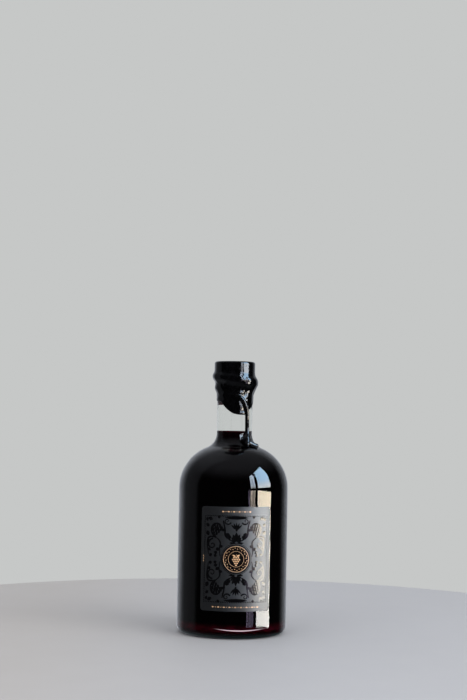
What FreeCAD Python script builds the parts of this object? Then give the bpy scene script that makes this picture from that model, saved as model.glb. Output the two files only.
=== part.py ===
"""A stocky, straight-sided bottle of dark wine.

A clear glass bottle with a round shoulder and a short neck holds wine up into
the neck. A plain stopper fills the bore, and the mouth has been dipped in
sealing wax that hangs down the neck in lobes, with one long drip that ends in
a small pool where the neck meets the shoulder. One printed label is on the
front. Millimetres, +Z up, the bottle's axis on Z and its foot on Z = 0. The
front is -Y, and an azimuth is counted from the front towards +X.
"""
import FreeCAD, Part
import math
import os

Vector = FreeCAD.Vector
UP = Vector(0, 0, 1)
ORIGIN = Vector(0, 0, 0)
SAME = 1e-3                  # lengths nearer than this are the same

# ---- Glass, outside ----
BODY_RADIUS = 45.5
SHOULDER_START = 119.3       # height where the straight side ends
SHOULDER_RADIUS = 36.1       # of the shoulder's arc
NECK_RADIUS = 14.75
NECK_FILLET = 13.1           # hollow curve from the shoulder to the neck
NECK_LENGTH = 49.1           # from the top of that curve to the mouth
LIP_OVERHANG = 0.85          # of the lip beyond the neck
LIP_DEPTH = 7.5
LIP_ROUND = 1.2
HEEL_RADIUS = 6.0
FOOT_WIDTH = 3.5             # of the ring that the bottle stands on
PUNT_HEIGHT = 3.0            # how far the underside is pushed up

# ---- Glass, inside ----
WALL = 3.9
BORE_RADIUS = 9.9
BORE_FILLET = 12.0           # round curve from the inner shoulder to the bore
FLOOR_HEIGHT = 7.0          # top of the inner floor, on the axis
FLOOR_DOME_RADIUS = 260.0
FLOOR_CORNER = 5.5           # round between the floor and the wall

# ---- What fills and closes it ----
WINE_DROP = 47.4             # from the mouth down to the wine
STOPPER_LENGTH = 25.6
STOPPER_CHAMFER = 0.6

# ---- Label ----
LABEL_WIDTH = 59.2           # along the glass
LABEL_ABOVE_HEEL = 16.6      # from the heel's curve up to the label
LABEL_BELOW_SHOULDER = 13.1  # from the label up to the shoulder
LABEL_CORNER = 2.6
LABEL_THICKNESS = 0.2
LABEL_AZIMUTH = 3.8          # of the label's middle

# ---- Wax ----
WAX_TOP = 11.0               # above the mouth
WAX_CAP_PROUD = 0.95         # of the cap beyond the lip
WAX_CAP_ROUND = 2.0
WAX_CAP_SHIFT = -0.8         # the dipped cap sits a little to the left of the axis
WAX_ON_LIP = 3.9             # the ring of wax that has gathered round the lip
WAX_LIP_LEAN = 0.65          # how much further it stands out on the right
WAX_LIP_DROP = 4.1           # its height below the mouth
WAX_LIP_TILT = 2.9           # how much lower it is on the right
WAX_SKIRT = 1.15             # thickness on the neck
WAX_BEAD = 0.55              # thickness at the lower edge
# How far the lower edge hangs below the mouth: (azimuth, drop).
WAX_EDGE = [
    (-178, 27.0), (-140, 24.0), (-90, 23.0), (-55, 23.2), (-28, 28.2), (-5, 32.0),
    (22, 33.0), (42, 32.4), (51, 29.2), (61, 28.8), (78, 25.8), (95, 24.2), (135, 29.5),
]
# Folds in the wax: (azimuth, drop, half width, half height, thickness).
WAX_FOLDS = [
    (18, 16.0, 15, 2.0, 0.8), (40, 13.5, 9, 3.0, 0.6), (70, 18.0, 12, 5.0, 0.7),
    (8, 4.5, 16, 1.8, 0.5), (34, 8.0, 12, 1.8, 0.6), (-32, 13.0, 22, 3.0, 0.5),
    (-86, 15.5, 12, 3.0, 0.4), (-150, 14.0, 25, 3.5, 0.6), (145, 17.0, 20, 4.0, 0.6),
]

# ---- The drip ----
DRIP_RADIUS = 1.5
DRIP_TAPER = 0.75            # its lower end's radius beside its upper end's
DRIP_SINK = 0.45             # how much of its radius lies below the surface
# It leaves a fold of the wax, turns down and runs to the shoulder: (azimuth, drop).
DRIP_ROUTE = [
    (3, 18.6), (13, 18.9), (23, 20.4), (32, 23.6), (38, 28.0), (41, 33.0),
    (42.5, 38.5), (43, 44.0), (43, 49.5),
]
# The pool at its foot: (azimuth, drop, azimuth, drop, radius, radius) of each run.
POOL_RUNS = [
    (43, 48.5, 41, 54.0, 1.2, 2.8), (40, 53.6, 23, 53.4, 2.5, 2.2),
    (40, 53.6, 55, 53.0, 2.5, 2.1), (44, 56.0, 58, 60.2, 2.9, 2.7),
]
POOL_SINK = 0.35

# ---- How the wax's skin is drawn ----
WAX_SHIFT_FADE = 16.0        # height over which the cap's shift fades towards the lower edge
# Where the skin turns in under the lower edge: (beyond the glass, above the edge).
SKIN_TUCK = [(0.3, -0.5), (-0.6, -0.3), (-4.0, 3.0)]
SKIN_COLUMNS = 48
SKIN_ROWS = 15
DRIP_COLUMNS = 12

# ---- Sizes that follow from these ----
LIP_RADIUS = NECK_RADIUS + LIP_OVERHANG
WAX_CAP_RADIUS = LIP_RADIUS + WAX_CAP_PROUD
LABEL_BOTTOM = HEEL_RADIUS + LABEL_ABOVE_HEEL
LABEL_TOP = SHOULDER_START - LABEL_BELOW_SHOULDER


def polar(azimuth, radius, height):
    """The point at an azimuth in degrees, a distance from the axis and a height."""
    turn = math.radians(azimuth)
    return Vector(radius * math.sin(turn), -radius * math.cos(turn), height)


def section(radius, height):
    """A point of a half section, drawn in the XZ plane."""
    return Vector(radius, 0, height)


def line(start, end):
    return Part.LineSegment(start, end).toShape()


def arc(centre, radius, first, last):
    """An arc of a half section, between two angles in degrees from +X towards +Z."""
    spots = []
    for angle in (first, (first + last) / 2, last):
        turn = math.radians(angle)
        spots.append(centre + Vector(radius * math.cos(turn), 0, radius * math.sin(turn)))
    return Part.Arc(*spots).toShape()


def direction(start, end):
    """The angle in degrees of the way from one section point to another."""
    return math.degrees(math.atan2(end.z - start.z, end.x - start.x))


def turned(edges):
    """The solid that a closed half section makes when it turns about the axis."""
    face = Part.Face(Part.Wire(edges))
    return face.revolve(ORIGIN, UP, 360)


def shoulder_centre():
    """The centre of the shoulder's arc, the same for the outside and the inside."""
    return section(BODY_RADIUS - SHOULDER_RADIUS, SHOULDER_START)


def fillet_centre(column_radius, fillet, shoulder):
    """The centre of the hollow curve that touches a shoulder's arc and the column above it."""
    middle = shoulder_centre()
    across = column_radius + fillet - middle.x
    return section(column_radius + fillet, middle.z + math.sqrt((shoulder + fillet) ** 2 - across ** 2))


def neck_fillet_centre():
    return fillet_centre(NECK_RADIUS, NECK_FILLET, SHOULDER_RADIUS)


def mouth_height():
    return neck_fillet_centre().z + NECK_LENGTH


def glass_outside():
    """The bottle as if it were solid, up to the mouth."""
    foot_outer = BODY_RADIUS - HEEL_RADIUS
    foot_inner = foot_outer - FOOT_WIDTH
    dome = (foot_inner ** 2 + PUNT_HEIGHT ** 2) / (2 * PUNT_HEIGHT)
    dome_centre = section(0, PUNT_HEIGHT - dome)
    middle = shoulder_centre()
    hollow = neck_fillet_centre()
    meet = direction(middle, hollow)
    mouth = mouth_height()
    lip_bottom = mouth - LIP_DEPTH
    lip_core = LIP_RADIUS - LIP_ROUND
    edges = [
        arc(dome_centre, dome, 90, direction(dome_centre, section(foot_inner, 0))),
        line(section(foot_inner, 0), section(foot_outer, 0)),
        arc(section(foot_outer, HEEL_RADIUS), HEEL_RADIUS, -90, 0),
        line(section(BODY_RADIUS, HEEL_RADIUS), section(BODY_RADIUS, SHOULDER_START)),
        arc(middle, SHOULDER_RADIUS, 0, meet),
        arc(hollow, NECK_FILLET, meet + 180, 180),
        line(section(NECK_RADIUS, hollow.z), section(NECK_RADIUS, lip_bottom)),
        line(section(NECK_RADIUS, lip_bottom), section(lip_core, lip_bottom)),
        arc(section(lip_core, lip_bottom + LIP_ROUND), LIP_ROUND, -90, 0),
        line(section(LIP_RADIUS, lip_bottom + LIP_ROUND), section(LIP_RADIUS, mouth - LIP_ROUND)),
        arc(section(lip_core, mouth - LIP_ROUND), LIP_ROUND, 0, 90),
        line(section(lip_core, mouth), section(0, mouth)),
        line(section(0, mouth), section(0, PUNT_HEIGHT)),
    ]
    return turned(edges)


def glass_inside():
    """The hollow of the bottle, from its floor up to the mouth."""
    mouth = mouth_height()
    wall_radius = BODY_RADIUS - WALL
    corner_radius = wall_radius - FLOOR_CORNER
    dome_centre = section(0, FLOOR_HEIGHT - FLOOR_DOME_RADIUS)
    reach = FLOOR_DOME_RADIUS + FLOOR_CORNER
    corner = section(corner_radius, dome_centre.z + math.sqrt(reach ** 2 - corner_radius ** 2))
    touch = direction(dome_centre, corner)
    middle = shoulder_centre()
    shoulder = SHOULDER_RADIUS - WALL
    hollow = fillet_centre(BORE_RADIUS, BORE_FILLET, shoulder)
    meet = direction(middle, hollow)
    return turned([
        arc(dome_centre, FLOOR_DOME_RADIUS, 90, touch),
        arc(corner, FLOOR_CORNER, touch - 180, 0),
        line(section(wall_radius, corner.z), section(wall_radius, SHOULDER_START)),
        arc(middle, shoulder, 0, meet),
        arc(hollow, BORE_FILLET, meet + 180, 180),
        line(section(BORE_RADIUS, hollow.z), section(BORE_RADIUS, mouth)),
        line(section(BORE_RADIUS, mouth), section(0, mouth)),
        line(section(0, mouth), section(0, FLOOR_HEIGHT)),
    ])


def glass():
    return glass_outside().cut(glass_inside())


def wine():
    """The wine fills the hollow up to a flat level in the neck."""
    below = Part.makeCylinder(2 * BODY_RADIUS, mouth_height() - WINE_DROP)
    return glass_inside().common(below)


def stopper():
    """A plain cylinder, flush with the mouth."""
    end = mouth_height() - STOPPER_LENGTH
    plug = Part.makeCylinder(BORE_RADIUS, STOPPER_LENGTH, section(0, end))
    rim = [edge for edge in plug.Edges if edge.Closed and edge.BoundBox.ZMax < end + SAME]
    return plug.makeChamfer(STOPPER_CHAMFER, rim)


def label():
    """A sheet wrapped on the glass, its corners rounded."""
    angle = math.degrees(LABEL_WIDTH / BODY_RADIUS)
    inner, outer = BODY_RADIUS, BODY_RADIUS + LABEL_THICKNESS
    corners = [
        section(inner, LABEL_BOTTOM), section(outer, LABEL_BOTTOM),
        section(outer, LABEL_TOP), section(inner, LABEL_TOP),
    ]
    face = Part.Face(Part.makePolygon(corners + corners[:1]))
    face.rotate(ORIGIN, UP, -90 + LABEL_AZIMUTH - angle / 2)
    sheet = face.revolve(ORIGIN, UP, angle)
    across = [
        edge for edge in sheet.Edges
        if abs(edge.Length - LABEL_THICKNESS) < SAME and edge.BoundBox.ZLength < SAME
    ]
    return sheet.makeFillet(LABEL_CORNER, across)


def wax_edge(azimuth):
    """How far the wax hangs below the mouth: a smooth closed curve through WAX_EDGE."""
    points = WAX_EDGE
    count = len(points)
    place = (azimuth - points[0][0]) % 360 + points[0][0]
    index = max(i for i in range(count) if points[i][0] <= place)

    def point(i):
        laps, spot = divmod(i, count)
        return points[spot][0] + 360 * laps, points[spot][1]

    (a0, d0), (a1, d1), (a2, d2), (a3, d3) = [point(index + ahead) for ahead in (-1, 0, 1, 2)]
    share = (place - a1) / (a2 - a1)
    leave = (d2 - d0) / (a2 - a0) * (a2 - a1)
    reach = (d3 - d1) / (a3 - a1) * (a2 - a1)
    cube, square = share ** 3, share ** 2
    return (
        d1 * (2 * cube - 3 * square + 1) + leave * (cube - 2 * square + share)
        + d2 * (3 * square - 2 * cube) + reach * (cube - square)
    )


def hump(distance, width):
    """A smooth bump, 1 in the middle and near nothing past twice its width."""
    return math.exp(-(distance / width) ** 2)


def step(value):
    """A smooth rise from 0 to 1."""
    share = min(max(value, 0.0), 1.0)
    return share * share * (3 - 2 * share)


def wax_radius(azimuth, drop):
    """The wax's outer radius at an azimuth and a distance below the mouth."""
    right = math.sin(math.radians(azimuth))
    left_over = wax_edge(azimuth) - drop
    under = glass_radius(mouth_height() - drop)
    skirt = under + WAX_BEAD + (WAX_SKIRT - WAX_BEAD) * step(left_over / 8)
    radius = WAX_CAP_RADIUS + (skirt - WAX_CAP_RADIUS) * step((drop - 4) / 14)
    ring_drop = WAX_LIP_DROP + WAX_LIP_TILT * right
    ring = LIP_RADIUS + WAX_ON_LIP + WAX_LIP_LEAN * right - WAX_CAP_RADIUS
    spread = 3.4 + 1.3 * right + (0.4 if drop > ring_drop else 0.0)
    radius += ring * hump(drop - ring_drop, spread)
    for fold_azimuth, fold_drop, width, height, thickness in WAX_FOLDS:
        turn = (azimuth - fold_azimuth + 180) % 360 - 180
        radius += thickness * hump(turn, width) * hump(drop - fold_drop, height)
    return radius


def ring(place):
    """Control points round the axis; place gives the radius and height at an azimuth.

    They stand a little outside the curve that they draw. Above the lower edge
    the whole ring moves by WAX_CAP_SHIFT.
    """
    outside = 3 / (2 + math.cos(2 * math.pi / SKIN_COLUMNS))
    points = []
    for column in range(SKIN_COLUMNS):
        azimuth = 360 * column / SKIN_COLUMNS
        radius, height = place(azimuth)
        clear = wax_edge(azimuth) - (mouth_height() - height)
        shift = WAX_CAP_SHIFT * step(clear / WAX_SHIFT_FADE)
        points.append(polar(azimuth, radius * outside, height) + Vector(shift, 0, 0))
    return points


def level_ring(radius, height):
    return ring(lambda azimuth: (radius, height))


def closed_skin(rings):
    """A solid whose side is one smooth surface drawn by rings of control points, with flat ends."""
    rows, columns = len(rings), len(rings[0])
    surface = Part.BSplineSurface()
    surface.buildFromPolesMultsKnots(
        rings, [4] + [1] * (rows - 4) + [4], [1] * (columns + 1),
        list(range(rows - 2)), list(range(columns + 1)), False, True, 3, 3,
    )
    side = surface.toShape()
    ends = [Part.Face(Part.Wire(surface.uIso(end).toShape())) for end in (0, rows - 3)]
    shell = Part.Shell([side] + ends)
    shell.sewShape()
    solid = Part.Solid(shell)
    return solid if solid.Volume > 0 else solid.reversed()


def wax_skin():
    """The body of the wax: its top, its side down to the lower edge, and back inside the glass."""
    mouth = mouth_height()
    top = mouth + WAX_TOP
    side_top = 2 * WAX_CAP_ROUND - WAX_TOP
    flat_radius = WAX_CAP_RADIUS - WAX_CAP_ROUND
    rings = [level_ring(share * flat_radius, top) for share in (0.2, 0.6, 1)]
    for angle in (30, 60, 90):
        turn = math.radians(angle)
        rings.append(level_ring(
            flat_radius + WAX_CAP_ROUND * math.sin(turn),
            top - WAX_CAP_ROUND * (1 - math.cos(turn)),
        ))

    for row in range(SKIN_ROWS + 1):
        share = row / SKIN_ROWS

        def side(azimuth, share=share):
            drop = side_top + (wax_edge(azimuth) - side_top) * share
            return wax_radius(azimuth, drop), mouth - drop

        rings.append(ring(side))
    for proud, rise in SKIN_TUCK:

        def tuck(azimuth, proud=proud, rise=rise):
            height = mouth - wax_edge(azimuth) + rise
            return glass_radius(height) + proud, height

        rings.append(ring(tuck))
    rings.append(level_ring(BORE_RADIUS / 2, mouth - LIP_DEPTH))
    return closed_skin(rings)


def glass_radius(height):
    """The glass's outer radius on the shoulder, the hollow curve and the neck."""
    hollow = neck_fillet_centre()
    middle = shoulder_centre()
    if height >= hollow.z:
        return NECK_RADIUS
    meet = middle + (hollow - middle) * (SHOULDER_RADIUS / (SHOULDER_RADIUS + NECK_FILLET))
    if height >= meet.z:
        return hollow.x - math.sqrt(NECK_FILLET ** 2 - (hollow.z - height) ** 2)
    return middle.x + math.sqrt(SHOULDER_RADIUS ** 2 - (height - middle.z) ** 2)


def drip():
    """The long drip: a round strand along DRIP_ROUTE, partly sunk in what it runs over."""
    spots = []
    for azimuth, drop in DRIP_ROUTE:
        height = mouth_height() - drop
        under = wax_radius(azimuth, drop) if drop < wax_edge(azimuth) else glass_radius(height)
        spots.append(polar(azimuth, under, height))
    curve = Part.BSplineCurve()
    curve.interpolate(spots)
    first, last = curve.FirstParameter, curve.LastParameter
    steps = 2 * len(spots)
    rings = []
    for i in range(steps + 1):
        share = i / steps
        value = first + (last - first) * share
        radius = DRIP_RADIUS * (1 - (1 - DRIP_TAPER) * share)
        on_surface, along = curve.value(value), curve.tangent(value)[0]
        outward = Vector(on_surface.x, on_surface.y, 0).normalize()
        centre = on_surface + outward * (radius * (1 - 2 * DRIP_SINK))
        sideways = along.cross(outward).normalize()
        outward = sideways.cross(along)
        turns = [2 * math.pi * k / DRIP_COLUMNS for k in range(DRIP_COLUMNS)]
        rings.append([
            centre + sideways * (radius * math.cos(turn)) + outward * (radius * math.sin(turn))
            for turn in turns
        ])
    return closed_skin(rings)


def run(start, end, first, last):
    """A round-ended run of wax between two points, from one radius to the other."""
    way = end - start
    length = way.Length
    lean = math.degrees(math.asin((first - last) / length))
    face = Part.Face(Part.Wire([
        arc(section(0, 0), first, -90, lean),
        line(
            section(first * math.cos(math.radians(lean)), first * math.sin(math.radians(lean))),
            section(last * math.cos(math.radians(lean)), length + last * math.sin(math.radians(lean))),
        ),
        arc(section(0, length), last, lean, 90),
        line(section(0, length + last), section(0, -first)),
    ]))
    solid = face.revolve(ORIGIN, UP, 360)
    solid.Placement = FreeCAD.Placement(start, FreeCAD.Rotation(UP, way))
    return solid


def pool():
    """The runs that make the pool at the drip's foot, each partly sunk in the glass."""
    solids = []
    for azimuth, drop, to_azimuth, to_drop, first, last in POOL_RUNS:
        ends = []
        for a, d, radius in ((azimuth, drop, first), (to_azimuth, to_drop, last)):
            height = mouth_height() - d
            ends.append(polar(a, glass_radius(height) - POOL_SINK * radius, height))
        solids.append(run(*ends, first, last))
    return solids


def wax():
    """Cap, lobes, drip and pool are one piece of wax, hollow where the glass and stopper are."""
    whole = wax_skin().fuse([drip()] + pool())
    return whole.cut(glass_outside())


PIECES = {"glass": glass, "wine": wine, "stopper": stopper, "wax": wax, "label": label}


def main():
    os.makedirs("parts", exist_ok=True)
    for name, make in PIECES.items():
        shape = make()
        solids = shape.Solids
        if len(solids) != 1 or not solids[0].isValid():
            raise RuntimeError("%s is not one valid solid" % name)
        solids[0].exportStep("parts/%s.step" % name)
        print("%-8s %9.1f mm3" % (name, solids[0].Volume))


main()
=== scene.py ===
"""A stocky bottle of dark wine, sealed with dipped black wax.

The glass, the wine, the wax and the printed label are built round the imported
model of the same bottle. Every size is in metres, the bottle stands on Z = 0
with its axis on Z, its front is -Y, and an azimuth is counted in degrees from
the front towards +X. A drop is a distance below the bottle's mouth.
"""

import math

import bpy
from bpy.props import FloatProperty, FloatVectorProperty, IntProperty, PointerProperty
from mathutils import Matrix, Vector, noise


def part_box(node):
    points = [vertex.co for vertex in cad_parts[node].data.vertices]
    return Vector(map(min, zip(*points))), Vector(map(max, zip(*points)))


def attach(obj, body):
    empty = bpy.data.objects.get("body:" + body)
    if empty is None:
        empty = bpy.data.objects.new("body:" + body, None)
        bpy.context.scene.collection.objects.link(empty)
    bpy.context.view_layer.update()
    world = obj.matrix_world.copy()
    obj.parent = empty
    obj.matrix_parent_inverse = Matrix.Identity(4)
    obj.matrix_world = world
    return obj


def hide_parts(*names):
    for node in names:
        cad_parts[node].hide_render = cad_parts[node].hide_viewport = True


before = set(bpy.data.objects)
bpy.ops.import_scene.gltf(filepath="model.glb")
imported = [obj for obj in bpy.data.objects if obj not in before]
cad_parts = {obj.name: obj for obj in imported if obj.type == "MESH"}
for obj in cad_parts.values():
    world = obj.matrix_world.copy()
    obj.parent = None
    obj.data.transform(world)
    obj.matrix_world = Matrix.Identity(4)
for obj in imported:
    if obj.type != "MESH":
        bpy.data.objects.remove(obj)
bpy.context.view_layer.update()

bl_info = {
    "name": "Wax-sealed wine bottle",
    "version": (1, 0, 0),
    "blender": (4, 5, 0),
    "location": "3D View > Sidebar > Bottle",
    "description": "Builds a bottle of dark wine with dipped wax and a printed label",
    "category": "Add Mesh",
}

MM = 0.001
GLASS_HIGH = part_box("glass")[1]
WINE_LOW, WINE_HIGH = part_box("wine")
WAX_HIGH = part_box("wax")[1]
LABEL_LOW, LABEL_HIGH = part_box("label")


# ---------- settings

def length(name, description, default):
    return FloatProperty(name=name, description=description, default=default, unit="LENGTH", precision=5)


def turn(name, description, degrees):
    return FloatProperty(
        name=name, description=description, default=math.radians(degrees), subtype="ANGLE", unit="ROTATION",
    )


def colour(name, description, default):
    return FloatVectorProperty(
        name=name, description=description, default=default, size=3, subtype="COLOR", min=0, max=1,
    )


def number(name, description, default):
    return FloatProperty(name=name, description=description, default=default, precision=4)


class GlassSettings(bpy.types.PropertyGroup):
    body_radius: length("Body radius", "Outer radius of the straight side", GLASS_HIGH[0])
    mouth_height: length("Mouth height", "Height of the mouth above the foot", GLASS_HIGH[2])
    shoulder_start: length("Shoulder start", "Height where the straight side ends", 0.1193)
    shoulder_radius: length("Shoulder radius", "Radius of the shoulder's arc", 0.0361)
    neck_radius: length("Neck radius", "Outer radius of the neck", 0.01475)
    neck_fillet: length("Neck fillet", "Radius of the hollow curve below the neck", 0.0131)
    lip_overhang: length("Lip overhang", "How far the lip stands out from the neck", 0.00085)
    lip_depth: length("Lip depth", "Height of the lip ring", 0.0075)
    lip_round: length("Lip round", "Radius of the lip's edges", 0.0012)
    heel_radius: length("Heel radius", "Radius between the side and the foot", 0.006)
    foot_width: length("Foot width", "Width of the ring that the bottle stands on", 0.0035)
    punt_height: length("Punt height", "How far the underside is pushed up", 0.003)
    wall: length("Wall", "Thickness of the side", 0.0039)
    bore_radius: length("Bore radius", "Inner radius of the neck", 0.0099)
    bore_fillet: length("Bore fillet", "Radius of the inner curve below the bore", 0.012)
    floor_height: length("Floor height", "Height of the inner floor on the axis", 0.007)
    floor_dome: length("Floor dome", "Radius of the inner floor's dome", 0.26)
    floor_corner: length("Floor corner", "Round between the inner floor and the wall", 0.0055)
    segments: IntProperty(name="Segments", description="Faces round the bottle", default=192, min=24)
    tint: colour("Tint", "Colour of the clear glass", (0.997, 0.998, 0.997))
    depth_tint: colour("Depth tint", "Colour that thick glass takes", (0.45, 0.86, 0.74))
    depth_density: number("Depth density", "How fast thick glass takes it, per metre", 4.0)
    # The foot colour is partly painted shade: the thick glass's green, darkened by the wine over it and the
    # table under it.
    foot: colour("Foot colour", "Colour of the stippled underside", (0.0015, 0.006, 0.006))


class WineSettings(bpy.types.PropertyGroup):
    level: length("Level", "Height of the wine's surface", WINE_HIGH[2])
    reach: length("Reach", "How far the wine reaches into the wall", 0.00025)
    meniscus_rise: length("Meniscus rise", "How far the surface climbs at the wall", 0.0003)
    meniscus_width: length("Meniscus width", "How far from the wall it climbs", 0.0007)
    deep: colour("Deep colour", "Colour of the wine in bulk", (0.0007, 0.0002, 0.0003))
    # painted_glint is the colour of a painted highlight that glows low in the wine.
    painted_glint: colour("Glint colour", "Colour of the light that gathers low in the wine", (0.7, 0.5, 0.56))
    thin: colour("Thin colour", "Colour of the wine where it is thin", (0.11, 0.003, 0.013))


class WaxSettings(bpy.types.PropertyGroup):
    top: length("Top", "Height of the wax above the mouth", WAX_HIGH[2] - GLASS_HIGH[2])
    cap_radius: length("Cap radius", "Radius of the smooth cap", 0.0171)
    cap_round: length("Cap round", "Radius of the cap's top edge", 0.0017)
    cap_shift: length("Cap shift", "How far the cap sits to the left", 0.0005)
    voxel: length("Voxel", "Size of the wax's faces", 0.0003)
    colour: colour("Colour", "Colour of the wax", (0.0004, 0.0004, 0.0005))


class LabelSettings(bpy.types.PropertyGroup):
    width: length("Width", "Width of the label along the glass", 0.0592)
    bottom: length("Bottom", "Height of the label's lower edge", LABEL_LOW[2])
    top: length("Top", "Height of the label's upper edge", LABEL_HIGH[2])
    corner: length("Corner", "Radius of the label's corners", 0.0026)
    thickness: length("Thickness", "Thickness of the paper", 0.0002)
    azimuth: turn("Azimuth", "Where the label's middle is, towards the right", 3.8)
    paper: colour("Paper", "Colour of the coated paper", (0.005, 0.0055, 0.0065))
    ink: colour("Ink", "Colour of the gloss print", (0.0022, 0.0022, 0.0026))
    copper: colour("Copper", "Colour of the copper print", (0.78, 0.42, 0.2))


class StageSettings(bpy.types.PropertyGroup):
    camera_place: FloatVectorProperty(
        name="Camera place", description="Where the camera stands", default=(-0.00195, -1.1454, 0.176),
        size=3, subtype="XYZ", unit="LENGTH",
    )
    camera_pitch: turn("Camera pitch", "How far the camera looks up", 2.944)
    camera_roll: turn("Camera roll", "How far the camera is rolled", 0.993)
    lens: number("Lens", "Focal length in millimetres on a frame 36 mm high", 70.0)
    floor_radius: length("Floor radius", "Radius of the round table top", 0.378)
    floor: colour("Floor", "Colour of the table top", (0.48, 0.485, 0.505))
    wall: colour("Wall", "Colour of the surroundings", (0.565, 0.576, 0.571))
    window_distance: length("Window distance", "From the bottle to the window on its right", 1.5)
    window_near: length("Window near edge", "Where the window starts, towards the front", 0.14)
    window_far: length("Window far edge", "Where the window ends, towards the front", 2.5)
    mullion: length("Mullion", "Where the upright bar stands, towards the front", 1.29)
    bar_height: length("Bar height", "Height of the window's level bar", 0.13)
    window_top: length("Window top", "Height of the window's upper edge", 1.7)
    window_bottom: length("Window bottom", "Height of the window's lower edge", -0.7)
    bar_half: length("Bar half height", "Half the height of the level bar", 0.08)
    mullion_half: length("Mullion half width", "Half the width of the upright bar", 0.13)
    curtain: length("Curtain", "How much of the far upper pane is covered", 0.44)


SETTINGS = {
    "bottle_glass": GlassSettings,
    "bottle_wine": WineSettings,
    "bottle_wax": WaxSettings,
    "bottle_label": LabelSettings,
    "bottle_stage": StageSettings,
}


# ---------- shader maths

class Value:
    """A shader socket in an expression: each operation on it adds its Math node."""

    def __init__(self, finish, socket):
        self.finish = finish
        self.socket = socket

    def math(self, operation, *values):
        return self.finish.node("Math", {"operation": operation}, dict(enumerate(values)))

    def __add__(self, other):
        return self.math("ADD", self, other)

    def __sub__(self, other):
        return self.math("SUBTRACT", self, other)

    def __mul__(self, other):
        return self.math("MULTIPLY", self, other)

    def __abs__(self):
        return self.math("ABSOLUTE", self)

    __radd__ = __add__
    __rmul__ = __mul__


class Finish:
    """The nodes of one material or world, and the place that they depend on."""

    def __init__(self, owner, output, coordinates):
        self.owner = owner
        owner.use_nodes = True
        self.tree = owner.node_tree
        self.tree.nodes.clear()
        self.output = self.tree.nodes.new("ShaderNode" + output)
        self.place = self.node("TexCoord", out=coordinates)

    def node(self, kind, settings=None, values=None, out=0):
        """Adds a node and returns one of its outputs."""
        node = self.tree.nodes.new("ShaderNode" + kind)
        for name, setting in (settings or {}).items():
            setattr(node, name, setting)
        for name, value in (values or {}).items():
            self.put(node.inputs[name], value)
        return Value(self, node.outputs[out])

    def put(self, socket, value):
        if isinstance(value, Value):
            self.tree.links.new(value.socket, socket)
        elif socket.type == "RGBA" and len(value) == 3:
            socket.default_value = (*value, 1.0)
        else:
            socket.default_value = value

    def finish(self, **sockets):
        """Links shaders to the output's sockets and returns the material or world."""
        for name, value in sockets.items():
            self.put(self.output.inputs[name], value)
        return self.owner

    def surface(self, **values):
        """Finishes with a Principled shader; names are the sockets' names with underscores."""
        values = {name.replace("_", " "): value for name, value in values.items()}
        return self.finish(Surface=self.node("BsdfPrincipled", None, values))

    def axis(self, name):
        return self.node("SeparateXYZ", values={0: self.place}, out=name)

    def stretched(self, factors):
        return self.node("VectorMath", {"operation": "MULTIPLY"}, {0: self.place, 1: factors})

    def from_axis(self):
        """How far the place is from the Z axis."""
        flat = self.stretched((1.0, 1.0, 0.0))
        return self.node("VectorMath", {"operation": "LENGTH"}, {0: flat}, out="Value")

    def noise(self, scale, detail=2.0, roughness=0.5, place=None):
        values = {"Vector": place or self.place, "Scale": scale, "Detail": detail, "Roughness": roughness}
        return self.node("TexNoise", None, values)

    def cells(self, scale):
        """How far the place is from the middle of its cell."""
        return self.node("TexVoronoi", None, {"Vector": self.place, "Scale": scale}, out="Distance")

    def band(self, value, low, high, to_low=0.0, to_high=1.0):
        """A smooth change from to_low to to_high as value goes from low to high."""
        values = {"Value": value, "From Min": low, "From Max": high, "To Min": to_low, "To Max": to_high}
        return self.node("MapRange", {"interpolation_type": "SMOOTHSTEP"}, values)

    def mix(self, factor, first, second):
        return self.node("Mix", {"data_type": "RGBA"}, {0: factor, 6: first, 7: second}, out=2)

    def bump(self, height, distance):
        return self.node("Bump", None, {"Height": height, "Distance": distance}, out="Normal")


def new_finish(name):
    return Finish(bpy.data.materials.new(name), "OutputMaterial", "Object")


# ---------- modelling

def pick(*pieces):
    """Selects these pieces only and makes the first one active."""
    bpy.ops.object.select_all(action="DESELECT")
    for piece in pieces:
        piece.select_set(True)
    bpy.context.view_layer.objects.active = pieces[0]


def edit(piece):
    pick(piece)
    bpy.ops.object.mode_set(mode="EDIT")
    bpy.ops.mesh.select_all(action="SELECT")


def done():
    bpy.ops.object.mode_set(mode="OBJECT")


def named(name):
    piece = bpy.context.object
    piece.name = name
    piece.data.name = name
    return piece


def settle(piece):
    """Puts the piece's place, turn and size into its mesh."""
    pick(piece)
    bpy.ops.object.transform_apply(location=True, rotation=True, scale=True)


def apply(piece, kind, **settings):
    """Adds a modifier with its settings and applies it."""
    pick(piece)
    modifier = piece.modifiers.new(kind.lower(), kind)
    for name, value in settings.items():
        setattr(modifier, name, value)
    bpy.ops.object.modifier_apply(modifier=modifier.name)


def join(name, pieces):
    pick(*pieces)
    bpy.ops.object.join()
    return named(name)


def coat(piece, *materials):
    piece.data.materials.clear()
    for material in materials:
        piece.data.materials.append(material)


def hide(thing, *rays):
    """Keeps a thing out of the sight of some kinds of ray."""
    for ray in rays:
        setattr(thing, f"visible_{ray}", False)


def recoat(piece, wanted):
    """Gives the second finish to the faces that wanted picks by their height and upward slope."""
    for face in piece.data.polygons:
        if wanted(face.center.z, face.normal.z):
            face.material_index = 1


def present(piece, slot, degrees, *materials, stands_in=True):
    """Smooths and coats a piece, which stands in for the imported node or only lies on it."""
    pick(piece)
    bpy.ops.object.shade_smooth_by_angle(angle=math.radians(degrees))
    coat(piece, *materials)
    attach(piece, "root")
    if stands_in:
        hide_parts(slot)


def polar(azimuth, radius, height):
    angle = math.radians(azimuth)
    return Vector((radius * math.sin(angle), -radius * math.cos(angle), height))


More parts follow.
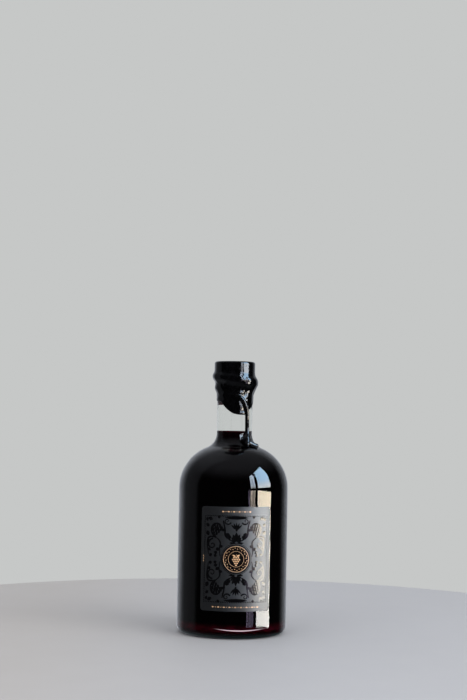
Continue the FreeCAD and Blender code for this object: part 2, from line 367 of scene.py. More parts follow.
def lathe(name, outline, segments):
    """Extrudes a vertex along an outline of (radius, height) and spins it about the axis."""
    bpy.ops.mesh.primitive_plane_add(size=MM)
    piece = named(name)
    edit(piece)
    bpy.ops.mesh.merge(type="CENTER")
    last = Vector((0, 0, 0))
    for index, (radius, height) in enumerate(outline):
        move = Vector((radius, 0, height)) - last
        if index == 0:
            bpy.ops.transform.translate(value=move)
        else:
            bpy.ops.mesh.extrude_region_move(TRANSFORM_OT_translate={"value": move})
        last += move
    bpy.ops.mesh.select_all(action="SELECT")
    bpy.ops.mesh.spin(steps=segments, angle=math.tau, center=(0, 0, 0), axis=(0, 0, 1))
    bpy.ops.mesh.select_all(action="SELECT")
    bpy.ops.mesh.remove_doubles(threshold=1e-6)
    bpy.ops.mesh.normals_make_consistent(inside=False)
    done()
    return piece


def tube(name, routes, sides, steps, cyclic=False):
    """Round strokes in one mesh: each route is a list of (place, radius) that a smooth line follows."""
    curve = bpy.data.curves.new(name, "CURVE")
    curve.dimensions = "3D"
    curve.bevel_depth = 1.0
    curve.bevel_resolution = sides
    curve.use_fill_caps = True
    for route in routes:
        spline = curve.splines.new("NURBS")
        spline.points.add(len(route) - 1)
        for point, (place, radius) in zip(spline.points, route):
            point.co = (*place, 1.0)
            point.radius = radius
        spline.order_u = 3
        spline.use_endpoint_u = not cyclic
        spline.use_cyclic_u = cyclic
        spline.resolution_u = steps
    piece = bpy.data.objects.new(name, curve)
    bpy.context.collection.objects.link(piece)
    pick(piece)
    bpy.ops.object.convert(target="MESH")
    return named(name)


def flat(name, place, size, turn=(0, 0, 0)):
    """A rectangle of a size (across, up) about a place."""
    bpy.ops.mesh.primitive_plane_add(size=1)
    piece = named(name)
    piece.location, piece.rotation_euler, piece.scale = place, turn, (*size, 1)
    settle(piece)
    return piece


def arc(centre, radius, first, last, spacing=0.0008):
    """Points of an arc round a (radius, height) centre, in degrees from outwards to up."""
    steps = max(4, round(abs(radius * math.radians(last - first)) / spacing))
    angles = [math.radians(first + (last - first) * i / steps) for i in range(steps + 1)]
    return [(centre[0] + radius * math.cos(a), centre[1] + radius * math.sin(a)) for a in angles]


def straight(start, end, spacing=0.006):
    """Points of a straight stretch, without its ends."""
    steps = max(1, round(math.dist(start, end) / spacing))
    return [tuple(s + (e - s) * i / steps for s, e in zip(start, end)) for i in range(1, steps)]


def direction(start, end):
    return math.degrees(math.atan2(end[1] - start[1], end[0] - start[0]))


def step(value):
    """A smooth rise from 0 to 1."""
    share = min(max(value, 0.0), 1.0)
    return share * share * (3 - 2 * share)


def hump(distance, width, power=2.0):
    """A smooth bump, 1 in the middle and near 0 past twice its width; a high power flattens its top."""
    return math.exp(-abs(distance / width) ** power)


# ---------- glass and wine

def shoulder_centre(glass):
    return glass.body_radius - glass.shoulder_radius, glass.shoulder_start


def fillet_centre(glass, column, fillet, shoulder):
    """The centre of the hollow curve that touches a shoulder's arc and the column above it."""
    middle = shoulder_centre(glass)
    across = column + fillet - middle[0]
    return column + fillet, middle[1] + math.sqrt((shoulder + fillet) ** 2 - across ** 2)


def outer_outline(glass, inset=0.0):
    """The outside of the bottle from its underside to the edge of the lip, moved in by inset."""
    foot_outer = glass.body_radius - glass.heel_radius
    foot_inner = foot_outer - glass.foot_width
    dome = (foot_inner ** 2 + glass.punt_height ** 2) / (2 * glass.punt_height)
    dome_centre = (0.0, glass.punt_height - dome)
    middle = shoulder_centre(glass)
    neck = glass.neck_radius - inset
    fillet = glass.neck_fillet + inset
    hollow = fillet_centre(glass, neck, fillet, glass.shoulder_radius - inset)
    meet = direction(middle, hollow)
    lip_bottom = glass.mouth_height - glass.lip_depth
    lip = glass.neck_radius + glass.lip_overhang - inset
    edge = glass.lip_round - inset
    lip_core = lip - edge
    return [
        *arc(dome_centre, dome, 90, direction(dome_centre, (foot_inner, 0.0)), 0.003),
        *arc((foot_outer, glass.heel_radius), glass.heel_radius - inset, -90, 0),
        *straight((glass.body_radius - inset, glass.heel_radius), (glass.body_radius - inset, middle[1])),
        *arc(middle, glass.shoulder_radius - inset, 0, meet),
        *arc(hollow, fillet, meet + 180, 180)[1:],
        *straight((neck, hollow[1]), (neck, lip_bottom), 0.003),
        (neck, lip_bottom),
        *arc((lip_core, lip_bottom + glass.lip_round), edge, -90, 0, 0.0004),
        *arc((lip_core, glass.mouth_height - glass.lip_round), edge, 0, 90, 0.0004),
    ]


def inner_outline(glass, reach=0.0):
    """The hollow from the mouth down to the middle of its floor, moved out by reach."""
    wall = glass.body_radius - glass.wall + reach
    dome_centre = (0.0, glass.floor_height - glass.floor_dome)
    across = glass.body_radius - glass.wall - glass.floor_corner
    rise = math.sqrt((glass.floor_dome + glass.floor_corner) ** 2 - across ** 2)
    corner = (across, dome_centre[1] + rise)
    touch = direction(dome_centre, corner)
    middle = shoulder_centre(glass)
    shoulder = glass.shoulder_radius - glass.wall + reach
    bore, fillet = glass.bore_radius + reach, glass.bore_fillet - reach
    hollow = fillet_centre(glass, bore, fillet, shoulder)
    meet = direction(middle, hollow)
    return [
        (bore, glass.mouth_height),
        *straight((bore, glass.mouth_height), (bore, hollow[1]), 0.003),
        *arc(hollow, fillet, 180, meet + 180),
        *arc(middle, shoulder, meet, 0)[1:],
        *straight((wall, middle[1]), (wall, corner[1])),
        *arc(corner, glass.floor_corner + reach, 0, touch - 180, 0.0005),
        *arc(dome_centre, glass.floor_dome - reach, touch, 90, 0.003)[1:],
    ]


def glass_finish(glass):
    """Clear bottle glass: very slightly wavy, and green where it is thick."""
    finish = new_finish("bottle_glass")
    depth = {"Color": glass.depth_tint, "Density": glass.depth_density}
    finish.finish(Volume=finish.node("VolumeAbsorption", None, depth))
    wave = finish.noise(38.0, 1.0) + 0.22 * finish.noise(140.0, 1.0)
    return finish.surface(
        Base_Color=glass.tint, Roughness=0.0, IOR=1.5, Transmission_Weight=1.0,
        Normal=finish.bump(wave, 0.00022),
    )


def foot_tint_and_shade_finish(glass):
    """The underside: stippled and opaque, its dark green the thick glass's tint with painted shade of the
    wine that stands over it and of the table's shadow under it.
    """
    finish = new_finish("bottle_foot_tint_and_shade")
    stipple = finish.band(finish.cells(900.0), 0.1, 0.5, 1.0, 0.0)
    cloud = finish.band(finish.noise(120.0), 0.3, 0.7)
    return finish.surface(
        Base_Color=finish.mix(cloud, glass.foot, (0.004, 0.009, 0.01)),
        Roughness=finish.band(stipple, 0.0, 1.0, 0.2, 0.35), Specular_IOR_Level=0.3,
        Normal=finish.bump(stipple, 0.00003),
    )


def wine_finish(wine, glass):
    """Wine against the wall: nearly black, dark red where thin, with a painted highlight low down: a line
    of gathered light painted into its colour and made to glow.
    """
    finish = new_finish("wine_in_glass")
    height, corner = finish.axis("Z"), WINE_LOW[2]
    low = finish.band(height, corner, glass.floor_height + 0.006, 0.95, 0.0)
    high = finish.band(height, wine.level - 0.012, wine.level + 0.001, 0.0, 0.08)
    rim = finish.band(height, wine.level - 0.0009, wine.level - 0.0003)
    # Painted highlight: a thin bright arc just above the inner floor's corner, only where X is near the
    # middle, painted into the base colour and made to glow.
    painted_glint_middle, painted_glint_half, painted_glint_rise, painted_glint_bend = 0.007, 0.022, 0.0023, 3.4
    across = abs(finish.axis("X") - painted_glint_middle)
    narrow = finish.band(across, 0.0, painted_glint_half, 0.0003, 0.0)
    off_line = abs(height - corner - painted_glint_rise - painted_glint_bend * (across * across))
    painted_glint = finish.band(off_line - narrow, 0.0, 0.0003, 1.0, 0.0)
    painted_glint *= finish.band(across, 0.012, painted_glint_half, 1.0, 0.0)
    painted_glint *= finish.band(finish.from_axis(), 0.036, 0.038)
    cloud = finish.band(finish.noise(160.0, 3.0), 0.3, 0.7, 0.6, 1.0)
    bulk = finish.mix((low + high + rim * 0.5) * cloud, wine.deep, wine.thin)
    return finish.surface(
        Base_Color=finish.mix(painted_glint, bulk, wine.painted_glint), Roughness=0.5, Specular_IOR_Level=0.0,
        Emission_Color=finish.mix(painted_glint, (0.0, 0.0, 0.0), wine.painted_glint), Emission_Strength=0.8,
    )


def wine_top_finish(wine):
    """The wine's free surface, faintly uneven."""
    finish = new_finish("wine_surface")
    cloud = finish.band(finish.noise(240.0, 2.0), 0.3, 0.7, 0.0, 0.18)
    return finish.surface(
        Base_Color=finish.mix(cloud, wine.deep, wine.thin), Roughness=0.02, IOR=1.34,
        Normal=finish.bump(finish.noise(400.0), 0.00002),
    )


class BOTTLE_OT_glass(bpy.types.Operator):
    """Spin the bottle's outside and inside into one thick glass wall"""
    bl_idname = "bottle.add_glass"
    bl_label = "Glass"

    def execute(self, context):
        glass = context.scene.bottle_glass
        bottle = lathe("bottle_glass", outer_outline(glass) + inner_outline(glass), glass.segments)
        present(bottle, "glass", 50, glass_finish(glass), foot_tint_and_shade_finish(glass))
        # The underside's faces take the opaque foot finish, painted shade in place of clear glass.
        recoat(bottle, lambda height, slope: height < glass.punt_height and slope < -0.45)
        return {"FINISHED"}


class BOTTLE_OT_wine(bpy.types.Operator):
    """Fill the bottle up to a level in the neck, with a meniscus at the wall"""
    bl_idname = "bottle.add_wine"
    bl_label = "Wine"

    def execute(self, context):
        glass, wine = context.scene.bottle_glass, context.scene.bottle_wine
        edge = glass.bore_radius + wine.reach
        surface = []
        for share in (0, 0.3, 0.55, 0.7, 0.78, 0.84, 0.89, 0.93, 0.96, 0.98, 1):
            climb = math.exp((share - 1.0) * glass.bore_radius / wine.meniscus_width)
            surface.append((share * edge, wine.level + wine.meniscus_rise * climb))
        side = [point for point in inner_outline(glass, wine.reach) if point[1] < wine.level]
        body = lathe("wine_body", surface + side, glass.segments)
        present(body, "wine", 35, wine_finish(wine, glass), wine_top_finish(wine))
        recoat(body, lambda height, slope: height > wine.level - wine.meniscus_rise and slope > 0.05)
        return {"FINISHED"}


def stopper_finish():
    """Cork that the wine has stained: dark, finely grained and pitted."""
    finish = new_finish("stained_cork")
    grain = finish.noise(420.0, 6.0, 0.65)
    pits = finish.band(finish.cells(620.0), 0.05, 0.28, 1.0, 0.0)
    tone = finish.mix(finish.band(grain, 0.3, 0.7), (0.05, 0.005, 0.014), (0.13, 0.02, 0.036))
    return finish.surface(
        Base_Color=finish.mix(pits * 0.7, tone, (0.008, 0.001, 0.002)),
        Roughness=finish.band(grain, 0.2, 0.8, 0.55, 0.85),
        Normal=finish.bump(grain - pits, 0.0001),
    )


class BOTTLE_OT_stopper(bpy.types.Operator):
    """Press the stopper into the bore, where its side clings to the glass"""
    bl_idname = "bottle.add_stopper"
    bl_label = "Stopper"

    def execute(self, context):
        glass, reach = context.scene.bottle_glass, context.scene.bottle_wine.reach
        low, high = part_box("stopper")
        side, chamfer = glass.bore_radius + reach, 0.2 * MM
        outline = [(side * share, high.z) for share in (0, 0.5, 1)]
        outline += straight((side, high.z), (side, low.z + chamfer), 0.002) + [(side, low.z + chamfer)]
        outline += [((side - chamfer) * share, low.z) for share in (1, 0.75, 0.5, 0.25, 0)]
        cork = lathe("stained_stopper", outline, 96)
        present(cork, "stopper", 40, stopper_finish())
        return {"FINISHED"}


# ---------- wax

# How far the wax's lower edge hangs below the mouth, in millimetres: (azimuth, drop).
WAX_EDGE = [
    (-176, 26), (-140, 23.4), (-105, 21.8), (-78, 22.8), (-54, 23.2), (-38, 26.4), (-25, 29.4),
    (-8, 32.2), (8, 33.3), (24, 33.6), (36, 33.2), (44, 30.6), (50, 28.6), (56, 29), (66, 27.6),
    (78, 25.2), (92, 20.5), (112, 21), (140, 28.5), (158, 29.5),
]
# Folds and dents in the wax: (azimuth, drop, half width in degrees, half height, thickness).
WAX_FOLDS = [
    (-92, 11.8, 30, 3.1, 1.25), (-56, 11, 16, 2.8, 0.3),
    (12, 15.2, 13, 1.5, 0.75), (30, 12.4, 9, 2.2, 0.5), (36, 8.4, 12, 1.4, 0.45), (18, 9.4, 8, 1.2, -0.3),
    (24, 5, 9, 1.5, 0.3), (43, 4.4, 8, 2, 0.3), (34, 15.4, 4, 2.4, -0.55), (48, 14.4, 7, 3, 0.4),
    (64, 12.8, 9, 3, 0.75), (58, 9.5, 5, 3.2, -0.45), (74, 3.2, 9, 1.8, 0.25), (92, 13.4, 18, 3.2, 1.1),
    (-150, 12, 26, 3.2, 0.7), (150, 13, 22, 3.6, 0.7), (176, 20, 16, 4.5, 0.35),
]
# The strand that leaves a fold, hooks down and runs to the shoulder: (azimuth, drop, radius).
DRIP_ROUTE = [
    (2, 17.2, 0.9), (11, 18.2, 1.4), (20, 19.6, 1.7), (26, 21.8, 1.85), (31, 24.4, 1.85),
    (35.5, 27.8, 1.85), (39.5, 31.5, 1.82), (41.5, 36, 1.8), (42, 42, 1.8), (42.5, 48, 1.9),
    (41, 53, 2.3),
]
# The pool at its foot: runs of wax through (azimuth, drop, radius), each with a round end.
POOL_RUNS = [
    [(41, 49, 2), (40, 53, 3.1), (33, 58.6, 2.2)],
    [(38, 53.4, 3), (30, 55, 2.6), (23.5, 55, 1.6)],
    [(41, 52.4, 2.8), (46, 53.8, 2.3), (50, 54.6, 1.6)],
    [(37, 56.6, 2.6), (47, 58.4, 2), (58, 60.2, 2.1)],
]


def wax_edge(azimuth):
    """How far the wax hangs below the mouth: a smooth closed curve through WAX_EDGE."""
    count = len(WAX_EDGE)
    start = WAX_EDGE[0][0]
    place = (azimuth - start) % 360 + start
    index = max(i for i in range(count) if WAX_EDGE[i][0] <= place)

    def point(i):
        laps, spot = divmod(i, count)
        return WAX_EDGE[spot][0] + 360 * laps, WAX_EDGE[spot][1]

    (a0, d0), (a1, d1), (a2, d2), (a3, d3) = [point(index + i) for i in (-1, 0, 1, 2)]
    share = (place - a1) / (a2 - a1)
    leave = (d2 - d0) / (a2 - a0) * (a2 - a1)
    reach = (d3 - d1) / (a3 - a1) * (a2 - a1)
    cube, square = share ** 3, share ** 2
    return MM * (
        d1 * (2 * cube - 3 * square + 1) + leave * (cube - 2 * square + share)
        + d2 * (3 * square - 2 * cube) + reach * (cube - square)
    )


def wax_radius(glass, wax, azimuth, drop):
    """The wax's outer radius at an azimuth and a drop."""
    right = math.sin(math.radians(azimuth))
    bead, skirt = 0.45 * MM, 0.68 * MM
    above_edge = wax_edge(azimuth) - drop
    edge_round = bead * (1 - math.sqrt(max(0.0, 1 - max(0.0, 1 - above_edge / (1.1 * MM)) ** 2)))
    lower = glass.neck_radius + bead + (skirt - bead) * step(above_edge / (7 * MM)) - edge_round
    lower += 0.3 * MM * hump(above_edge - 1.5 * MM, 1.4 * MM)
    radius = wax.cap_radius + (lower - wax.cap_radius) * step((drop - 3 * MM) / (12 * MM))
    ring_drop = (4.4 + 2.7 * right) * MM
    spread = (4.2 + 0.9 * right) * MM
    flatter = 1 - 0.5 * hump(azimuth - 8, 52) - 0.12 * hump(azimuth - 24, 10)
    radius += (2.3 + 0.65 * right) * flatter * MM * hump(drop - ring_drop, spread, 2.7)
    for fold_azimuth, fold_drop, width, height, thickness in WAX_FOLDS:
        across = (azimuth - fold_azimuth + 180) % 360 - 180
        radius += thickness * MM * hump(across, width) * hump(drop - fold_drop * MM, height * MM)
    lumpy = step((drop + 1 * MM) / (4 * MM)) * step(above_edge / (6 * MM))
    place = polar(azimuth, 16 * MM, -drop)
    lump = noise.noise(place * 210) + 0.5 * noise.noise(place * 430 + Vector((7, 3, 1)))
    return radius + 0.28 * MM * lump * lumpy


def wax_skin(glass, wax):
    """The wax without its strand: a spun blank that is then pushed into its folds and lobes."""
    mouth, top = glass.mouth_height, glass.mouth_height + wax.top
    shoulder, blank_edge = wax.cap_round - wax.top, 30 * MM
    core = wax.cap_radius - wax.cap_round
    outline = [(core * i / 8, top) for i in range(8)]
    outline += arc((core, top - wax.cap_round), wax.cap_round, 90, 0, 0.0003)
    outline += straight((wax.cap_radius, mouth - shoulder), (wax.cap_radius, mouth - blank_edge), 0.0004)
    outline += [(wax.cap_radius * share, mouth - blank_edge) for share in (1, 0.8, 0.5, 0.25, 0)]
    skin = lathe("sealing_wax", outline, 240)
    for vertex in skin.data.vertices:
        x, y, height = vertex.co
        azimuth = math.degrees(math.atan2(x, -y))
        radius, drop = math.hypot(x, y), mouth - height
        share = (drop - shoulder) / (blank_edge - shoulder)
        if share > 0:
            drop += (wax_edge(azimuth) - blank_edge) * min(share, 1.0)
            radius *= wax_radius(glass, wax, azimuth, drop) / wax.cap_radius
        else:
            drop += 0.3 * MM * noise.noise(Vector((x, y, 0)) * 70) * (1 - (radius / wax.cap_radius) ** 2)
        shift = wax.cap_shift * (1 - step((drop - 1 * MM) / (8 * MM)))
        vertex.co = polar(azimuth, radius, mouth - drop) - Vector((shift, 0, 0))
    return skin


def on_glass(glass, azimuth, drop, lift):
    """A place that stands out from the glass by lift."""
    height = glass.mouth_height - drop
    middle = shoulder_centre(glass)
    hollow = fillet_centre(glass, glass.neck_radius, glass.neck_fillet, glass.shoulder_radius)
    meet = math.radians(direction(middle, hollow))
    if height >= hollow[1]:
        centre, reach, rise = 0, glass.neck_radius, 0
    elif height >= middle[1] + glass.shoulder_radius * math.sin(meet):
        centre, reach, rise = hollow[0], -glass.neck_fillet, (hollow[1] - height) / glass.neck_fillet
    else:
        centre, reach, rise = middle[0], glass.shoulder_radius, (height - middle[1]) / glass.shoulder_radius
    out = math.sqrt(1 - rise ** 2)
    return polar(azimuth, centre + (reach + lift) * out, height + lift * rise)


def strand(name, glass, wax, route, sink=0.55):
    """A run of wax along a route of (azimuth, drop, radius), sunk into what it lies on."""
    places = []
    for azimuth, drop, radius in route:
        lift = (1 - sink) * radius * MM
        if drop * MM < wax_edge(azimuth):
            lift += wax_radius(glass, wax, azimuth, drop * MM) - glass.neck_radius
        places.append((on_glass(glass, azimuth, drop * MM, lift), radius * MM))
    return tube(name, [places], 4, 8)


def ball(name, glass, azimuth, drop, radius, sink=0.45):
    """A round end of wax on the glass."""
    place = on_glass(glass, azimuth, drop * MM, (1 - sink) * radius * MM)
    bpy.ops.mesh.primitive_uv_sphere_add(segments=24, ring_count=16, radius=radius * MM, location=place)
    piece = named(name)
    settle(piece)
    return piece


def wax_finish(wax):
    """Glossy black wax, faintly uneven and duller in patches."""
    finish = new_finish("black_wax")
    slow = finish.noise(260.0, 2.0)
    fine = finish.noise(1500.0, 3.0)
    return finish.surface(
        Base_Color=finish.mix(finish.band(slow, 0.35, 0.7), wax.colour, (0.0016, 0.0015, 0.002)),
        Roughness=finish.band(slow + 0.4 * fine, 0.4, 0.95, 0.05, 0.13), IOR=1.47,
        Normal=finish.bump(slow + 0.06 * fine, 0.00014),
    )


class BOTTLE_OT_wax(bpy.types.Operator):
    """Dip the neck in wax: a folded skin, a strand that ran down and the pool at its foot"""
    bl_idname = "bottle.add_wax"
    bl_label = "Wax"

    def execute(self, context):
        glass, wax = context.scene.bottle_glass, context.scene.bottle_wax
        parts = [wax_skin(glass, wax), strand("wax_strand", glass, wax, DRIP_ROUTE)]
        for number, run in enumerate(POOL_RUNS):
            parts.append(strand(f"wax_run_{number}", glass, wax, run))
            parts.append(ball(f"wax_ball_{number}", glass, *run[-1]))
        seal = join("sealing_wax", parts)
        apply(seal, "REMESH", mode="VOXEL", voxel_size=wax.voxel, adaptivity=0.0)
        apply(seal, "SMOOTH", factor=0.6, iterations=7)
        sunk = 0.4 * MM
        core = outer_outline(glass, sunk) + [(0.0, glass.mouth_height - sunk)]
        cutter = lathe("wax_cutter", core, glass.segments)
        apply(seal, "BOOLEAN", operation="DIFFERENCE", solver="MANIFOLD", object=cutter)
        bpy.data.objects.remove(cutter)
        edit(seal)
        bpy.ops.mesh.quads_convert_to_tris(quad_method="BEAUTY", ngon_method="BEAUTY")
        bpy.ops.mesh.dissolve_degenerate(threshold=3e-6)
        done()
        present(seal, "wax", 50, wax_finish(wax))
        return {"FINISHED"}


# ---------- label

def wrap(piece, radius, azimuth):
    """Stands flat work up from the XY plane, bends it round the bottle and turns it to its azimuth."""
    pick(piece)
    piece.rotation_euler = (math.pi / 2, 0, 0)
    settle(piece)
    across = [vertex.co.x for vertex in piece.data.vertices]
    bend = (max(across) - min(across)) / radius
    apply(piece, "SIMPLE_DEFORM", deform_method="BEND", deform_axis="Z", angle=bend)
    piece.location = polar(math.degrees(azimuth), radius, 0)
    piece.rotation_euler = (0, 0, azimuth)
    settle(piece)


def pen(name, lines, height, cyclic=False, weight=1.0):
    """Raised strokes on the XY plane: each line is a list of (across, up, half width) in millimetres."""
    strokes = [[((x * MM, y * MM, 0), half * weight * MM) for x, y, half in line] for line in lines]
    piece = tube(name, strokes, 1, 3, cyclic)
    thickest = max(vertex.co.z for vertex in piece.data.vertices)
    piece.scale = (1, 1, height / thickest)
    settle(piece)
    return piece


def spot(across, up, heading, distance):
    angle = math.radians(heading)
    return across + distance * math.cos(angle), up + distance * math.sin(angle)


def petal(across, up, heading, size, half, round_end=1.0):
    """A stroke that swells and closes again: a leaf, or a bead where round_end is 0.5."""
    points = []
    for share in [i / 8 for i in range(9)]:
        swell = max(math.sin(math.pi * share), 0.02) ** round_end
        points.append((*spot(across, up, heading, size * share), half * swell))
    return points


def bead(across, up, radius):
    return petal(across - radius, up, 0, 2 * radius, radius, 0.5)


def scroll(across, up, outer, inner, start, turns, half):
    """A spiral stroke that narrows towards its eye."""
    count = max(10, round(abs(turns) * 16))
    points = []
    for share in [i / count for i in range(count + 1)]:
        radius = outer * (inner / outer) ** share
        points.append((*spot(across, up, start + 360 * turns * share, radius), half * (1 - 0.55 * share)))
    return points


def ring(radius, half, count=48):
    return [(*spot(0, 0, 360 * i / count, radius), half) for i in range(count)]


def mirrored(lines, across=True, up=True):
    """The lines and their mirror images, without those that fall on the line itself."""
    def places(line):
        return {(round(x, 3), round(y, 3)) for x, y, half in line}

    for wanted, side, end in ((across, -1, 1), (up, 1, -1)):
        copies = [[(side * x, end * y, half) for x, y, half in line] for line in lines if wanted]
        lines = lines + [copy for line, copy in zip(lines, copies) if places(copy) != places(line)]
    return lines


def bunch(across, up, radius, heading):
    """A bunch of grapes that hangs along heading, with its rows of beads."""
    angle = math.radians(heading)
    cos, sin = math.cos(angle), math.sin(angle)
    beads = []
    for row, count in enumerate((3, 4, 3, 2, 1)):
        for i in range(count):
            side = (i - (count - 1) / 2) * 2.4 * radius
            down = row * 2.1 * radius
            beads.append(bead(across + cos * down - sin * side, up + sin * down + cos * side, radius))
    return beads


def vine():
    """The gloss ornament of one quarter of the label, away from its middle."""
    lines = [
        scroll(15.2, 24.6, 7.6, 1, -80, 1.35, 0.5),
        scroll(19.6, 11.2, 5, 0.8, 95, -1.3, 0.45),
        scroll(7.6, 30.4, 3.4, 0.6, 200, 1.2, 0.38),
        [(22.9, 3.2, 0.2), (23.6, 8, 0.42), (24.2, 14, 0.5), (22.6, 18.6, 0.5), (16.6, 17.1, 0.46)],
        [(1.2, 13.4, 0.3), (5.8, 15.4, 0.45), (9.6, 19, 0.5), (9, 24, 0.45), (10.9, 30.9, 0.3)],
        [(13, 2, 0.2), (14.2, 8.2, 0.4), (12, 14.2, 0.4), (16.4, 17, 0.3)],
    ]
    leaves = [
        (9.4, 19, 165, 4.2, 1), (9.2, 22.6, 20, 3.4, 0.8), (5.6, 15.4, 85, 4.4, 1),
        (22.8, 18.4, 62, 4.6, 1.1), (24, 12.8, 130, 3.6, 0.8), (23.6, 8.4, 215, 3.2, 0.8),
        (13.8, 6.6, 40, 3.6, 0.9), (14, 9.4, 160, 3.4, 0.8), (22.4, 25.6, 40, 3.8, 0.9),
        (19.6, 31.2, 25, 4.4, 1), (14.4, 32.2, 95, 2.8, 0.8), (22.6, 2.2, 150, 3.4, 0.9),
        (24, 29.6, 80, 3.6, 0.8), (11.4, 26.2, 300, 3, 0.7), (18.2, 5.6, 200, 3.2, 0.9),
        (17.6, 1.2, 110, 3, 0.9),
    ]
    lines += [petal(*leaf) for leaf in leaves]
    return lines + bunch(15.6, 26.6, 1.0, -75)


def palmette(up):
    """A fan of leaves above the roundel."""
    leaves = ((90, 7.4), (62, 6.4), (36, 5.2), (12, 4.0))
    fan = [petal(0, up, heading, size, 1.05) for heading, size in leaves]
    return fan + [petal(0.6, up - 1.4, 0, 5.4, 0.6)]


def sheaf(up):
    """Five leaves that rise from a bead."""
    return [petal(0, up, heading, 6.4, 0.75) for heading in (46, 68, 90, 112, 134)] + [bead(0, up, 0.9)]


def rope(half_width, half_height, pitch=1.45):
    """A twisted border: short slanting strokes along a rectangle."""
    places = []
    for i in range(round(2 * half_height / pitch) + 1):
        places += [(side * half_width, i * pitch - half_height) for side in (-1, 1)]
    for i in range(1, round(2 * half_width / pitch)):
        places += [(i * pitch - half_width, side * half_height) for side in (-1, 1)]
    return [[(x - 0.55, y - 0.55, 0.12), (x, y, 0.55), (x + 0.55, y + 0.55, 0.12)] for x, y in places]


def dotted_row(up, width):
    """A row of lozenges that lie along it, with a dot between each two."""
    gaps = 2 * round(width / 4.4)
    lines = []
    for i in range(gaps + 1):
        across = (i / gaps - 0.5) * width
        lines.append(petal(across - 0.95, up, 0, 1.9, 0.55) if i % 2 == 0 else bead(across, up, 0.32))
    return lines


def paper_finish(label):
    """Charcoal paper with a satin coat and fine fibres."""
    finish = new_finish("charcoal_paper")
    fibre = finish.noise(2600.0, 4.0, 0.6)
    cloud = finish.noise(90.0, 3.0)
    return finish.surface(
        Base_Color=finish.mix(finish.band(fibre, 0.3, 0.7, 0.0, 0.5), label.paper, (0.012, 0.0125, 0.0145)),
        Roughness=finish.band(cloud + 0.35 * fibre, 0.4, 0.95, 0.42, 0.5), IOR=1.95,
        Normal=finish.bump(fibre, 0.00003),
    )


def ink_finish(label):
    """Raised black varnish."""
    finish = new_finish("gloss_print")
    return finish.surface(
        Base_Color=label.ink, IOR=1.5, Normal=finish.bump(finish.noise(900.0), 0.00004),
        Roughness=finish.band(finish.noise(500.0, 3.0), 0.3, 0.7, 0.07, 0.16),
    )


def copper_finish(label):
    """Copper ink: metal flakes in a matt binder."""
    finish = new_finish("copper_print")
    flakes = finish.noise(3200.0, 2.0)
    return finish.surface(
        Base_Color=finish.mix(finish.band(flakes, 0.35, 0.65), label.copper, (0.9, 0.6, 0.36)),
        Metallic=finish.band(flakes, 0.4, 0.7, 0.2, 0.5), Roughness=0.42,
        Normal=finish.bump(flakes, 0.00003),
    )


class BOTTLE_OT_label(bpy.types.Operator):
    """Cut the paper with round corners, give it its thickness and bend it round the glass"""
    bl_idname = "bottle.add_label"
    bl_label = "Label"

    def execute(self, context):
        glass, label = context.scene.bottle_glass, context.scene.bottle_label
        middle = (label.top + label.bottom) / 2
        paper = flat("label_paper", (0, middle, 0), (label.width, label.top - label.bottom))
        edit(paper)
        bpy.ops.mesh.bevel(offset=label.corner, segments=8, affect="VERTICES")
        columns = 56
        for column in range(1, columns):
            bpy.ops.mesh.select_all(action="SELECT")
            across = (column / columns - 0.5) * label.width
            bpy.ops.mesh.bisect(plane_co=(across, 0, 0), plane_no=(1, 0, 0))
        done()
        sunk = 0.02 * MM
        apply(paper, "SOLIDIFY", thickness=label.thickness + sunk, offset=1.0)
        wrap(paper, glass.body_radius - sunk, label.azimuth)
        present(paper, "label", 30, paper_finish(label))
        return {"FINISHED"}


class BOTTLE_OT_print(bpy.types.Operator):
    """Print the label: vines in raised gloss black, with a roundel and rows of beads in copper"""
    bl_idname = "bottle.print_label"
    bl_label = "Print"

    def execute(self, context):
        glass, label = context.scene.bottle_glass, context.scene.bottle_label
        middle = Vector((0, (label.top + label.bottom) / 2, 0))
        half_width, half_height = label.width / 2 / MM, (label.top - label.bottom) / 2 / MM
        varnish, foil = 0.05 * MM, 0.08 * MM
        steps = [radius * MM for radius in (0, 2, 4, 6, 8, 9.6, 10.3)]
        disc = [(radius, 0.03 * MM) for radius in steps] + [(10.5 * MM, 0)]
        disc += [(radius, 0) for radius in reversed(steps)]
        bars = [petal(-9.5, 33.0, 0, 19, 1.3, 0.45)]
        gloss = join("label_gloss_print", [
            pen("gloss_vines", mirrored(vine()), varnish, weight=1.55),
            pen("gloss_fans", mirrored(palmette(14.2)), varnish, weight=1.35),
            pen("gloss_sheaves", mirrored(sheaf(23.0) + bars, across=False), varnish),
            pen("gloss_border", rope(half_width - 3.2, half_height - 7.4), varnish),
            pen("gloss_halo", [ring(11.4, 0.45), ring(12.5, 0.2)], 0.04 * MM, cyclic=True),
            lathe("roundel", disc, 96),
        ])

        wreath = []
        for i in range(28):
            heading, radius = 360 * i / 28, 8.5 if i % 2 else 7.7
            wreath.append(petal(*spot(0, 0, heading, radius), heading + 62, 1.8, 0.38))
        rows = dotted_row(half_height - 3.9, 22) + dotted_row(3.4 - half_height, 37)
        rows += [petal(-27.4, up - 0.7, 90, 1.4, 0.4) for up in (-2.0, 0.0, 2.0)]
        leaves = ((80, 2.9, 0.32), (24, 3.6, 0.8), (156, 3.6, 0.8))
        crest = bunch(0, 1.2, 0.72, -90) + [petal(0, 2.0, *leaf) for leaf in leaves]
        copper = join("label_copper_print", [
            pen("copper_rings", [ring(10.2, 0.17), ring(6.3, 0.12, 36)], foil, cyclic=True),
            pen("copper_motifs", wreath + rows + crest, foil),
        ])

        for piece, finish in ((gloss, ink_finish(label)), (copper, copper_finish(label))):
            piece.location = middle
            settle(piece)
            wrap(piece, glass.body_radius + label.thickness, label.azimuth)
            present(piece, "label", 60, finish, stands_in=False)
        return {"FINISHED"}


# ---------- stage

